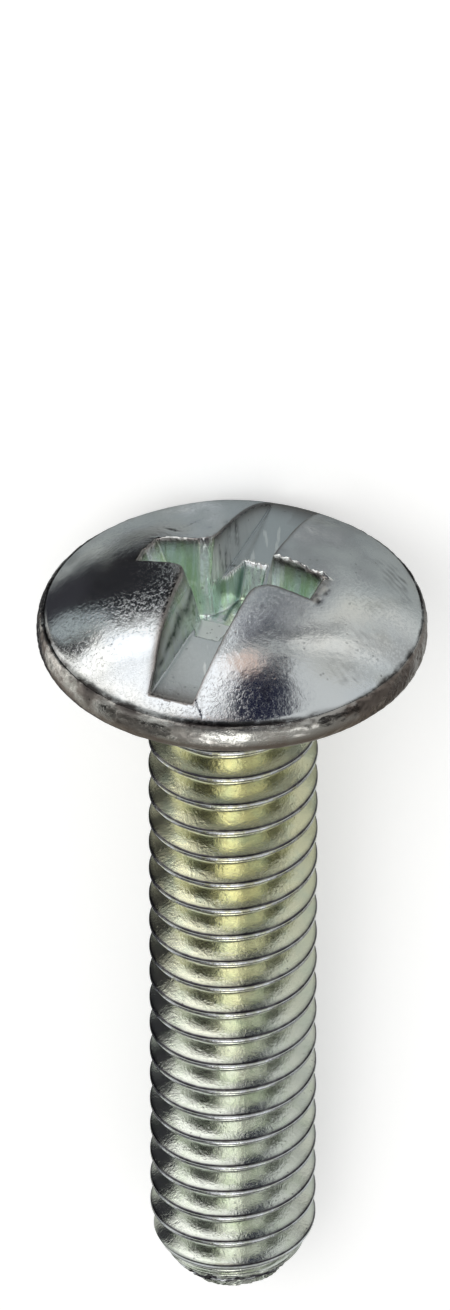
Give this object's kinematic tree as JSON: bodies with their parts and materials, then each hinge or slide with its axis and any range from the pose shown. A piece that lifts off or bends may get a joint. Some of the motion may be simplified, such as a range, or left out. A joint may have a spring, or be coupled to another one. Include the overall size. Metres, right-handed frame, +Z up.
{
  "type": "truss head machine screw",
  "caption": "Zinc plated truss head machine screw with a low wide dome, a slot crossed by a cross recess and a fine threaded shank.",
  "frame": {"origin": "middle of the screw's footprint, on the surface that it lies on", "axes": "+Z up; the screw lies along Y with its head towards -Y and its point towards +Y, the axis falling 8.3 degrees towards the point"},
  "size_m": [0.0094, 0.0214, 0.0094],
  "materials": {
    "zinc_plated_steel": "bright zinc plate with a thin greenish yellow passivation"
  },
  "bodies": {
    "root": {"screw": "zinc_plated_steel"}
  },
  "joints": []
}
